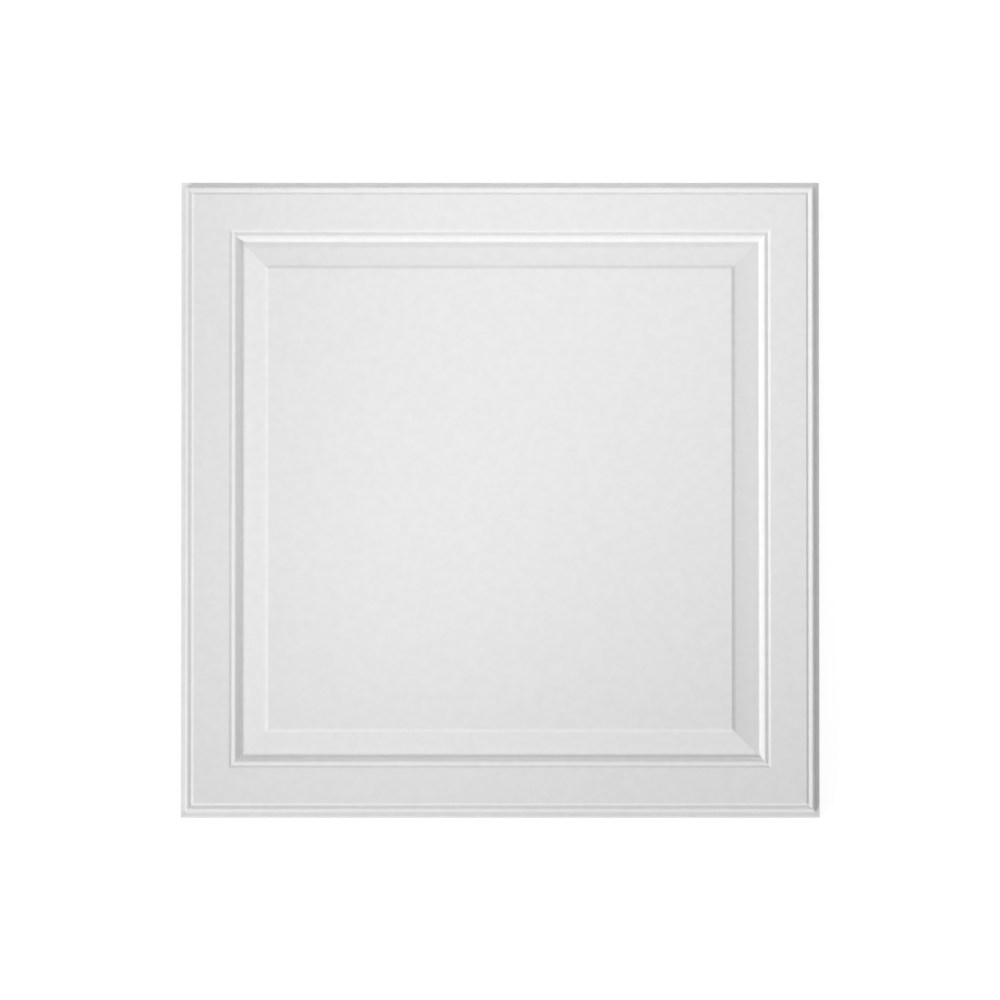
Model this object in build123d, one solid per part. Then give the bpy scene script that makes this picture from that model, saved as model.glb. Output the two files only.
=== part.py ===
"""Tegular ceiling tile with a moulded border, one board, face up. Millimetres.

The board is square. Its rim steps down to a ledge that hangs on the flanges of a ceiling
grid. The face has a V groove close to the rim, a flat frame, a second V groove with a small
bead behind it, an ovolo that falls into a sunk border, a gentle bevel that climbs back
towards the middle, and a small step up to the flat field. Each moulding runs along all four
sides and is mitred at the corners.

The origin is the middle of the flat back, +Z points out of the face.
"""

import os
from math import cos, radians, sin, tan

from build123d import *

# Board
TILE_SIDE = 603.25  # the 24 in module less the play in the grid
FACE_HEIGHT = 19.05  # back to the flat frame

# Tegular rim
LEDGE_WIDTH = 4.6
LEDGE_DROP = 7.94  # frame down to the ledge
LEDGE_ARRIS = 0.4
NOSE_RADIUS = 2.2  # rounding of the reveal into the face
NOSE_LAND = 0.2  # flat between the nose and the rim groove

# V groove beside the rim
RIM_GROOVE_OUTER = 3.1  # plan width of the flank on the rim's side
RIM_GROOVE_INNER = 2.2
RIM_GROOVE_DEPTH = 1.25

# Flat frame between the two grooves
FRAME_WIDTH = 33.4

# V groove between the frame and the bead
BEAD_GROOVE_OUTER = 2.4
BEAD_GROOVE_INNER = 3.05
BEAD_GROOVE_DEPTH = 1.05
BEAD_ARRIS = 0.4

# Ovolo from the bead down to the sunk border
SUNK_DEPTH = 5.2
OVOLO_LEAD = 0.2  # gentle straight start on the bead
OVOLO_LEAD_ANGLE = 13.5  # from the level
OVOLO_ANGLE = 57.0  # steepest part, from the level
OVOLO_RADIUS = 5.0
OVOLO_COVE = 1.6  # hollow at its foot

# Bevel and step up to the field
BEVEL_WIDTH = 23.2
BEVEL_RISE = 3.6
STEP_WIDTH = 3.2
STEP_RISE = 1.6
STEP_COVE = 8.0  # wide hollow between the bevel and the step
STEP_ARRIS = 0.5

# Small roundings that moulding and paint leave in the grooves and on their lips
GROOVE_ROOT = 0.5
GROOVE_LIP = 0.35


def face_line():
    """Corners of the face's section, rim to middle, as (inset, height, corner radius)."""
    frame = FACE_HEIGHT
    ledge = frame - LEDGE_DROP
    sunk = frame - SUNK_DEPTH

    rim_groove = LEDGE_WIDTH + NOSE_RADIUS + NOSE_LAND
    rim_root = rim_groove + RIM_GROOVE_OUTER
    frame_start = rim_root + RIM_GROOVE_INNER
    bead_groove = frame_start + FRAME_WIDTH
    bead_root = bead_groove + BEAD_GROOVE_OUTER
    bead = bead_root + BEAD_GROOVE_INNER
    lead_angle = radians(OVOLO_LEAD_ANGLE)
    turn = radians(OVOLO_ANGLE) - lead_angle
    lead = OVOLO_LEAD + OVOLO_RADIUS * tan(turn / 2)  # up to the corner that the arc rounds
    ovolo = bead + lead * cos(lead_angle)
    shoulder = frame - lead * sin(lead_angle)
    foot = ovolo + (shoulder - sunk) / tan(radians(OVOLO_ANGLE))
    step = foot + BEVEL_WIDTH
    field = step + STEP_WIDTH

    return [
        (0, ledge, LEDGE_ARRIS),
        (LEDGE_WIDTH, ledge, GROOVE_ROOT),
        (LEDGE_WIDTH, frame, NOSE_RADIUS),
        (rim_groove, frame, GROOVE_LIP),
        (rim_root, frame - RIM_GROOVE_DEPTH, GROOVE_ROOT),
        (frame_start, frame, GROOVE_LIP),
        (bead_groove, frame, GROOVE_LIP),
        (bead_root, frame - BEAD_GROOVE_DEPTH, GROOVE_ROOT),
        (bead, frame, BEAD_ARRIS),
        (ovolo, shoulder, OVOLO_RADIUS),
        (foot, sunk, OVOLO_COVE),
        (step, sunk + BEVEL_RISE, STEP_COVE),
        (field, sunk + BEVEL_RISE + STEP_RISE, STEP_ARRIS),
    ]


def half_section():
    """Section from the rim at -X to the middle of the tile, on the XZ plane."""
    corners = face_line()
    middle_height = corners[-1][1]
    points = [(inset - TILE_SIDE / 2, height) for inset, height, _ in corners]
    outline = [(-TILE_SIDE / 2, 0), *points, (0, middle_height)]
    face = FilletPolyline(*outline, radius=[radius for *_, radius in corners])
    back = Polyline((0, middle_height), (0, 0), (-TILE_SIDE / 2, 0))
    return Plane.XZ * make_face(face.edges() + back.edges())


def mitre_wedge():
    """Prism over the quarter of the square that faces -X, its two sides on the mitres."""
    corner = TILE_SIDE / 2
    plan = make_face(Polyline((0, 0), (-corner, corner), (-corner, -corner), close=True))
    return extrude(plan, amount=2 * FACE_HEIGHT)


def ceiling_tile():
    """Four mouldings of the same section, mitred together into one board."""
    side = extrude(half_section(), amount=TILE_SIDE / 2, both=True) & mitre_wedge()
    quarters = [Rot(Z=turn) * side for turn in (0, 90, 180, 270)]
    return quarters[0].fuse(*quarters[1:]).clean()


os.makedirs("parts", exist_ok=True)
export_step(ceiling_tile(), "parts/ceiling_tile.step")
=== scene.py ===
"""The tegular ceiling tile as it lies on the floor, face up: its board, finish, light and camera.

Lengths are in metres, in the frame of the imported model: the origin is the middle of the flat
back and +Z points out of the moulded face.
"""

from math import acos, ceil, copysign, cos, pi, radians, sin, tan

import bpy
from mathutils import Matrix, Vector


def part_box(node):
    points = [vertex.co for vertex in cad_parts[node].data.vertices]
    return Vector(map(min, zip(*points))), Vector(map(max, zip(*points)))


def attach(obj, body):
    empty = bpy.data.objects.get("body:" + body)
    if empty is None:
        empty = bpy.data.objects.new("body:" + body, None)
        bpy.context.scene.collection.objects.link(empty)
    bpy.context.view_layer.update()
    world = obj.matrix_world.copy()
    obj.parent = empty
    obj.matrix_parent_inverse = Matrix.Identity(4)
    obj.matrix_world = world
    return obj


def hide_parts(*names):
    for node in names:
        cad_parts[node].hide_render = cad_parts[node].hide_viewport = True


MM = 0.001

# Section of the moulding, the same sizes as in the solid
LEDGE_WIDTH = 4.6 * MM
LEDGE_DROP = 7.94 * MM
LEDGE_ARRIS = 0.4 * MM
NOSE_RADIUS = 2.2 * MM
NOSE_LAND = 0.2 * MM
RIM_GROOVE_OUTER = 3.1 * MM
RIM_GROOVE_INNER = 2.2 * MM
RIM_GROOVE_DEPTH = 1.25 * MM
FRAME_WIDTH = 33.4 * MM
BEAD_GROOVE_OUTER = 2.4 * MM
BEAD_GROOVE_INNER = 3.05 * MM
BEAD_GROOVE_DEPTH = 1.05 * MM
BEAD_ARRIS = 0.4 * MM
SUNK_DEPTH = 5.2 * MM
OVOLO_LEAD = 0.2 * MM
OVOLO_LEAD_ANGLE = radians(13.5)
OVOLO_ANGLE = radians(57.0)
OVOLO_RADIUS = 5.0 * MM
OVOLO_COVE = 1.6 * MM
BEVEL_WIDTH = 23.2 * MM
BEVEL_RISE = 3.6 * MM
STEP_WIDTH = 3.2 * MM
STEP_RISE = 1.6 * MM
STEP_COVE = 8.0 * MM
STEP_ARRIS = 0.5 * MM
GROOVE_ROOT = 0.5 * MM
GROOVE_LIP = 0.35 * MM

# Mesh of the board
SIDE_CELLS = 96  # along each side
ARC_STEP = radians(9.0)  # turn between two points of an arc
FLAT_CELL = 6.0 * MM  # widest cell across the moulding
SAME_POINT = 1e-7  # points closer than this are one


def tangent_run(radius, turn):
    """Length that an arc of this radius takes off each leg of a corner with this turn."""
    return radius * tan(turn / 2)


def face_line(face):
    """Corners of the face's section, rim to middle, as (inset, height, corner radius)."""
    ledge = face - LEDGE_DROP
    sunk = face - SUNK_DEPTH
    rim_groove = LEDGE_WIDTH + NOSE_RADIUS + NOSE_LAND
    rim_root = rim_groove + RIM_GROOVE_OUTER
    frame_start = rim_root + RIM_GROOVE_INNER
    bead_groove = frame_start + FRAME_WIDTH
    bead_root = bead_groove + BEAD_GROOVE_OUTER
    bead = bead_root + BEAD_GROOVE_INNER
    lead = OVOLO_LEAD + tangent_run(OVOLO_RADIUS, OVOLO_ANGLE - OVOLO_LEAD_ANGLE)
    ovolo = bead + lead * cos(OVOLO_LEAD_ANGLE)
    shoulder = face - lead * sin(OVOLO_LEAD_ANGLE)
    foot = ovolo + (shoulder - sunk) / tan(OVOLO_ANGLE)
    step = foot + BEVEL_WIDTH
    field = step + STEP_WIDTH
    return [
        (0, ledge, LEDGE_ARRIS),
        (LEDGE_WIDTH, ledge, GROOVE_ROOT),
        (LEDGE_WIDTH, face, NOSE_RADIUS),
        (rim_groove, face, GROOVE_LIP),
        (rim_root, face - RIM_GROOVE_DEPTH, GROOVE_ROOT),
        (frame_start, face, GROOVE_LIP),
        (bead_groove, face, GROOVE_LIP),
        (bead_root, face - BEAD_GROOVE_DEPTH, GROOVE_ROOT),
        (bead, face, BEAD_ARRIS),
        (ovolo, shoulder, OVOLO_RADIUS),
        (foot, sunk, OVOLO_COVE),
        (step, sunk + BEVEL_RISE, STEP_COVE),
        (field, sunk + BEVEL_RISE + STEP_RISE, STEP_ARRIS),
    ]


def corner_arc(before, corner, after, radius):
    """Points of the arc that rounds a corner of the section."""
    back = (before - corner).normalized()
    ahead = (after - corner).normalized()
    opening = acos(max(-1.0, min(1.0, back.dot(ahead))))
    turn = pi - opening
    centre = corner + (back + ahead).normalized() * (radius / sin(opening / 2))
    start = corner + back * tangent_run(radius, turn) - centre
    count = max(2, ceil(turn / ARC_STEP))
    points = []
    for i in range(count + 1):
        angle = copysign(turn * i / count, -back.cross(ahead))
        points.append(centre + Matrix.Rotation(angle, 2) @ start)
    return points


def section(face):
    """Rounded section from the back's edge to the start of the flat field."""
    corners = face_line(face)
    field, top, _ = corners[-1]
    line = [Vector((0, 0))]
    line += [Vector((inset, height)) for inset, height, _ in corners]
    line.append(Vector((field + FLAT_CELL, top)))
    points = [line[0]]
    for (_, _, radius), before, corner, after in zip(corners, line, line[1:], line[2:]):
        points += corner_arc(before, corner, after, radius)
    points.append(line[-1])
    return fill_runs(points)


def fill_runs(points):
    """Divides each straight run of the section into cells no wider than FLAT_CELL."""
    filled = [points[0]]
    for start, end in zip(points, points[1:]):
        length = (end - start).length
        if length < SAME_POINT:
            continue
        cells = ceil(length / FLAT_CELL)
        filled += [start.lerp(end, i / cells) for i in range(1, cells + 1)]
    return filled


def square_ring(reach, height):
    """One loop of the board: a square of half-side reach, counter-clockwise from a corner."""
    steps = [2 * i / SIDE_CELLS - 1 for i in range(SIDE_CELLS)]
    front = [(s * reach, -reach) for s in steps]
    right = [(reach, s * reach) for s in steps]
    back = [(-s * reach, reach) for s in steps]
    left = [(-reach, -s * reach) for s in steps]
    return [(x, y, height) for x, y in front + right + back + left]


def flat_grid(ring, reach, height, verts, faces, up):
    """Fills the ring that starts at vertex ring with square cells, sharing its own vertices."""
    n = SIDE_CELLS
    index = {}
    for i in range(n):
        index[i, 0] = ring + i
        index[n, i] = ring + n + i
        index[n - i, n] = ring + 2 * n + i
        index[0, n - i] = ring + 3 * n + i
    for j in range(1, n):
        for i in range(1, n):
            index[i, j] = len(verts)
            verts.append(((2 * i / n - 1) * reach, (2 * j / n - 1) * reach, height))
    for j in range(n):
        for i in range(n):
            cell = [index[i, j], index[i + 1, j], index[i + 1, j + 1], index[i, j + 1]]
            faces.append(cell if up else cell[::-1])


def board_mesh(half, face):
    """Closed mesh of the whole board with mitred mouldings."""
    line = section(face)
    verts, faces = [], []
    for inset, height in line:
        verts += square_ring(half - inset, height)
    loop = 4 * SIDE_CELLS
    for k in range(len(line) - 1):
        for i in range(loop):
            a, b = k * loop + i, k * loop + (i + 1) % loop
            faces.append([a, b, b + loop, a + loop])
    flat_grid(0, half - line[0].x, line[0].y, verts, faces, up=False)
    last = len(line) - 1
    flat_grid(last * loop, half - line[last].x, line[last].y, verts, faces, up=True)
    mesh = bpy.data.meshes.new("board")
    mesh.from_pydata(verts, [], faces)
    mesh.validate()
    mark_mitres(mesh, len(line), loop)
    return mesh


def mark_mitres(mesh, rings, loop):
    """Smooth mouldings with a crisp line along each mitre and round the back."""
    mesh.shade_smooth()
    corners = {side * SIDE_CELLS for side in range(4)}
    sharp = mesh.attributes.new("sharp_edge", "BOOLEAN", "EDGE")
    for edge in mesh.edges:
        a, b = sorted(edge.vertices)
        if b >= rings * loop:  # inside a flat
            continue
        on_mitre = b - a == loop and a % loop in corners
        on_back_edge = b < loop
        sharp.data[edge.index].value = on_mitre or on_back_edge


# Finish of the board: colours, roughness and relief
PAINT_DARK = (0.815, 0.815, 0.815)
PAINT_LIGHT = (0.845, 0.845, 0.845)
BOARD_DARK = (0.60, 0.58, 0.54)
BOARD_LIGHT = (0.76, 0.74, 0.70)
PAINT_ROUGHNESS = (0.5, 0.58)
BOARD_ROUGHNESS = (0.82, 0.95)
SPECULAR_LEVEL = 0.4
RELIEF = 0.2 * MM  # height of the bare board's fibres
SPRAY_RELIEF = 0.16  # the paint's relief as a share of that

# Spray at the foot of the edges and round to the back
SPRAY_FOOT = 0.3 * MM  # thinnest up to here
SPRAY_FULL = 3.5 * MM  # full cover from here
SPRAY_THIN = 0.45  # cover where it is thinnest
SPRAY_RAGGED = 1.2 * MM  # how far these heights stray
BACK_NORMAL = (-0.9, -0.6)  # Z of a normal: bare up to the first, painted from the second

# Noises: cells per metre, detail, roughness
PAINT_TONE = (120, 4.0, 0.5)
BOARD_TONE = (420, 6.0, 0.65)
GRAIN = (300, 3.0, 0.5)
FIBRES = (800, 8.0, 0.7)
SPRAY = (650, 4.0, 0.5)
SPRAY_EDGE = (260, 5.0, 0.5)

# Band of a noise that is used: little of it lies outside
TONE_BAND = (0.3, 0.7)
RELIEF_BAND = (0.2, 0.8)


def set_input(node, name, value):
    node.inputs[name].default_value = value


def noise_node(tree, scale, detail, roughness):
    """Object-space noise, scale in cells per metre."""
    coords = tree.nodes.new("ShaderNodeTexCoord")
    noise = tree.nodes.new("ShaderNodeTexNoise")
    set_input(noise, "Scale", scale)
    set_input(noise, "Detail", detail)
    set_input(noise, "Roughness", roughness)
    tree.links.new(coords.outputs["Object"], noise.inputs["Vector"])
    return noise.outputs["Fac"]


def map_range(tree, value, low, high, to_low, to_high):
    """Carries the range low to high over to another one, clamped."""
    node = tree.nodes.new("ShaderNodeMapRange")
    node.clamp = True
    set_input(node, "From Min", low)
    set_input(node, "From Max", high)
    set_input(node, "To Min", to_low)
    set_input(node, "To Max", to_high)
    tree.links.new(value, node.inputs["Value"])
    return node.outputs["Result"]


def tone(tree, value, dark, light):
    """Colour between two tones, by a noise."""
    ramp = tree.nodes.new("ShaderNodeValToRGB")
    for element, position, colour in zip(ramp.color_ramp.elements, TONE_BAND, (dark, light)):
        element.position = position
        element.color = (*colour, 1)
    tree.links.new(value, ramp.inputs["Fac"])
    return ramp.outputs["Color"]


def math_node(tree, operation, one, other):
    """Sum, product or the like of two values, each a number or another node's output."""
    node = tree.nodes.new("ShaderNodeMath")
    node.operation = operation
    for value, socket in zip((one, other), node.inputs):
        if isinstance(value, float):
            socket.default_value = value
        else:
            tree.links.new(value, socket)
    return node.outputs[0]


# Places of A, B and the result among a Mix node's sockets
MIX_SOCKETS = {"FLOAT": (2, 3, 0), "RGBA": (6, 7, 2)}


def blend(tree, share, bare, coated, kind="FLOAT"):
    """Bare board's value where the share is 0, the paint's where it is 1."""
    node = tree.nodes.new("ShaderNodeMix")
    node.data_type = kind
    first, second, result = MIX_SOCKETS[kind]
    tree.links.new(share, node.inputs[0])
    tree.links.new(bare, node.inputs[first])
    tree.links.new(coated, node.inputs[second])
    return node.outputs[result]


def paint_cover(tree):
    """1 on the painted face and rim, less at the foot of the edges, 0 on the back."""
    geometry = tree.nodes.new("ShaderNodeNewGeometry")
    normal = tree.nodes.new("ShaderNodeSeparateXYZ")
    tree.links.new(geometry.outputs["Normal"], normal.inputs[0])
    off_back = map_range(tree, normal.outputs["Z"], *BACK_NORMAL, 0.0, 1.0)
    coords = tree.nodes.new("ShaderNodeTexCoord")
    place = tree.nodes.new("ShaderNodeSeparateXYZ")
    tree.links.new(coords.outputs["Object"], place.inputs[0])
    edge = noise_node(tree, *SPRAY_EDGE)
    ragged = map_range(tree, edge, *TONE_BAND, -SPRAY_RAGGED, SPRAY_RAGGED)
    height = math_node(tree, "ADD", place.outputs["Z"], ragged)
    spray = map_range(tree, height, SPRAY_FOOT, SPRAY_FULL, SPRAY_THIN, 1.0)
    return math_node(tree, "MULTIPLY", off_back, spray)


def painted_board():
    """White factory paint with a fine spray texture over mineral-fibre board."""
    material = bpy.data.materials.new("painted_board")
    material.use_nodes = True
    tree = material.node_tree
    shader = tree.nodes["Principled BSDF"]
    set_input(shader, "Specular IOR Level", SPECULAR_LEVEL)
    cover = paint_cover(tree)

    paint = tone(tree, noise_node(tree, *PAINT_TONE), PAINT_DARK, PAINT_LIGHT)
    board = tone(tree, noise_node(tree, *BOARD_TONE), BOARD_DARK, BOARD_LIGHT)
    tree.links.new(blend(tree, cover, board, paint, "RGBA"), shader.inputs["Base Color"])

    grain = noise_node(tree, *GRAIN)
    satin = map_range(tree, grain, *TONE_BAND, *PAINT_ROUGHNESS)
    matt = map_range(tree, grain, *TONE_BAND, *BOARD_ROUGHNESS)
    tree.links.new(blend(tree, cover, matt, satin), shader.inputs["Roughness"])

    fibres = map_range(tree, noise_node(tree, *FIBRES), *RELIEF_BAND, 0.0, 1.0)
    spray = map_range(tree, noise_node(tree, *SPRAY), *RELIEF_BAND, 0.0, SPRAY_RELIEF)
    bump = tree.nodes.new("ShaderNodeBump")
    set_input(bump, "Distance", RELIEF)
    tree.links.new(blend(tree, cover, fibres, spray), bump.inputs["Height"])
    tree.links.new(bump.outputs["Normal"], shader.inputs["Normal"])
    return material


def add_board():
    """The board with its finish, in the place of the solid."""
    _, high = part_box("ceiling_tile")
    mesh = board_mesh(high[0], high[2])
    mesh.materials.append(painted_board())
    board = bpy.data.objects.new("moulded_board", mesh)
    bpy.context.scene.collection.objects.link(board)
    weighted = board.modifiers.new("even_flats", "WEIGHTED_NORMAL")
    weighted.keep_sharp = True
    weighted.weight = 100  # the large flats win over the small roundings
    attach(board, "root")
    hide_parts("ceiling_tile")


# Camera: the photo is 1000 px wide and the tile in it 638 px
FRAME_PX = 1000
TILE_PX = 638.4
FACE_ABOVE_MIDDLE_PX = 1.6
LENS_MM = 1000.0
SENSOR_MM = 36.0
TILT = radians(6.5)  # off plumb, towards the tile's front


def add_camera(tile_width, face):
    """Long lens almost straight above the tile, so that its sides stay parallel."""
    frame_width = tile_width * FRAME_PX / TILE_PX
    distance = frame_width * LENS_MM / SENSOR_MM
    data = bpy.data.cameras.new("camera")
    data.lens = LENS_MM
    data.sensor_width = SENSOR_MM
    data.clip_start = 0.1
    data.clip_end = 2 * distance
    camera = bpy.data.objects.new("camera", data)
    aim = Vector((0, -FACE_ABOVE_MIDDLE_PX * frame_width / FRAME_PX, face))
    camera.location = aim + distance * Vector((0, -sin(TILT), cos(TILT)))
    camera.rotation_euler = (TILT, 0, 0)
    bpy.context.scene.collection.objects.link(camera)
    bpy.context.scene.camera = camera


# Light
KEY_AZIMUTH = radians(222.0)
KEY_ELEVATION = radians(25.0)
KEY_STRENGTH = 2.22  # watts on a square metre
KEY_SOFTNESS = radians(14.0)
FILL_STRENGTH = 0.2
LAMPS = {  # watts, width, depth, place
    "overhead": (1.78, 0.6, 0.6, (0.015, 0.15, 0.68)),
    "near": (0.125, 0.2, 0.2, (-0.13, -0.1, 0.35)),
    "corner": (0.36, 0.3, 0.3, (-0.5, -0.5, 0.4)),
    "behind": (1.0, 0.9, 0.1, (0.0, 0.68, 0.2)),
    "beside": (0.5, 0.9, 0.05, (0.72, 0.0, 0.22)),
}


def add_lights():
    """A low key from the front left, a soft lamp overhead and weak ones round the tile."""
    key = bpy.data.lights.new("key", "SUN")
    key.energy = KEY_STRENGTH
    key.angle = KEY_SOFTNESS
    towards = Vector((
        cos(KEY_AZIMUTH) * cos(KEY_ELEVATION),
        sin(KEY_AZIMUTH) * cos(KEY_ELEVATION),
        sin(KEY_ELEVATION),
    ))
    hang_lamp(key, towards)
    for name, (power, width, depth, place) in LAMPS.items():
        lamp = bpy.data.lights.new(name, "AREA")
        lamp.shape = "RECTANGLE"
        lamp.energy = power
        lamp.size = width
        lamp.size_y = depth
        hang_lamp(lamp, Vector(place))


def hang_lamp(lamp, place):
    """Puts a lamp in its place, turned to the middle of the tile."""
    holder = bpy.data.objects.new(lamp.name, lamp)
    holder.location = place
    holder.rotation_euler = place.to_track_quat("Z", "Y").to_euler()
    holder.visible_camera = False
    holder.visible_glossy = False
    bpy.context.scene.collection.objects.link(holder)


def seen_directly(tree):
    """1 for rays that show the background itself: camera, glossy and transmission rays."""
    path = tree.nodes.new("ShaderNodeLightPath").outputs
    seen = math_node(tree, "MAXIMUM", path["Is Camera Ray"], path["Is Glossy Ray"])
    return math_node(tree, "MAXIMUM", seen, path["Is Transmission Ray"])


def set_world():
    """White where it is seen, an even dim fill where it only lights."""
    world = bpy.data.worlds.new("studio")
    world.use_nodes = True
    tree = world.node_tree
    fill = tree.nodes["Background"]
    set_input(fill, "Color", (1, 1, 1, 1))
    set_input(fill, "Strength", FILL_STRENGTH)
    white = tree.nodes.new("ShaderNodeBackground")
    set_input(white, "Color", (1, 1, 1, 1))
    set_input(white, "Strength", 1.0)
    mix = tree.nodes.new("ShaderNodeMixShader")
    tree.links.new(seen_directly(tree), mix.inputs[0])
    tree.links.new(fill.outputs[0], mix.inputs[1])
    tree.links.new(white.outputs[0], mix.inputs[2])
    tree.links.new(mix.outputs[0], tree.nodes["World Output"].inputs["Surface"])
    bpy.context.scene.world = world


# Floor
FLOOR_SIZE = 60.0
FLOOR_DROP = 0.2 * MM  # below the back of the tile
FLOOR_COLOUR = (0.82, 0.82, 0.82, 1)
FLOOR_WHITE = 0.75  # share of the seen floor that is plain white, the rest keeps the shadow
FLOOR_GLOW = 1.185  # strength of that white
FLOOR_ROUGHNESS = 0.9


def add_floor():
    """White floor that shows the tile's faint shadow."""
    material = bpy.data.materials.new("floor")
    material.use_nodes = True
    tree = material.node_tree
    shader = tree.nodes["Principled BSDF"]
    set_input(shader, "Base Color", FLOOR_COLOUR)
    set_input(shader, "Roughness", FLOOR_ROUGHNESS)
    set_input(shader, "Specular IOR Level", 0.0)
    white = tree.nodes.new("ShaderNodeEmission")
    set_input(white, "Strength", FLOOR_GLOW)
    mix = tree.nodes.new("ShaderNodeMixShader")
    tree.links.new(math_node(tree, "MULTIPLY", seen_directly(tree), FLOOR_WHITE), mix.inputs[0])
    tree.links.new(shader.outputs[0], mix.inputs[1])
    tree.links.new(white.outputs[0], mix.inputs[2])
    tree.links.new(mix.outputs[0], tree.nodes["Material Output"].inputs["Surface"])
    half = FLOOR_SIZE / 2
    mesh = bpy.data.meshes.new("floor")
    corners = [(-half, -half, 0), (half, -half, 0), (half, half, 0), (-half, half, 0)]
    mesh.from_pydata(corners, [], [(0, 1, 2, 3)])
    mesh.materials.append(material)
    floor = bpy.data.objects.new("floor", mesh)
    floor.location.z = -FLOOR_DROP
    bpy.context.scene.collection.objects.link(floor)


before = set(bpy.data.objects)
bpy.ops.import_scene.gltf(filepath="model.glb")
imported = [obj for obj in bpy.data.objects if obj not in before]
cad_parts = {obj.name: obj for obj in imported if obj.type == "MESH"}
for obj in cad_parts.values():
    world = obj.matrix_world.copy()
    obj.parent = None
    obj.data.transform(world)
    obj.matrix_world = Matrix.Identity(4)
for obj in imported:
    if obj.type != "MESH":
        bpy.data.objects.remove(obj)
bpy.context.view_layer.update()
low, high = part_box("ceiling_tile")
add_camera(high[0] - low[0], high[2])
add_board()
add_floor()
set_world()
add_lights()
bpy.context.scene.view_settings.view_transform = "Standard"
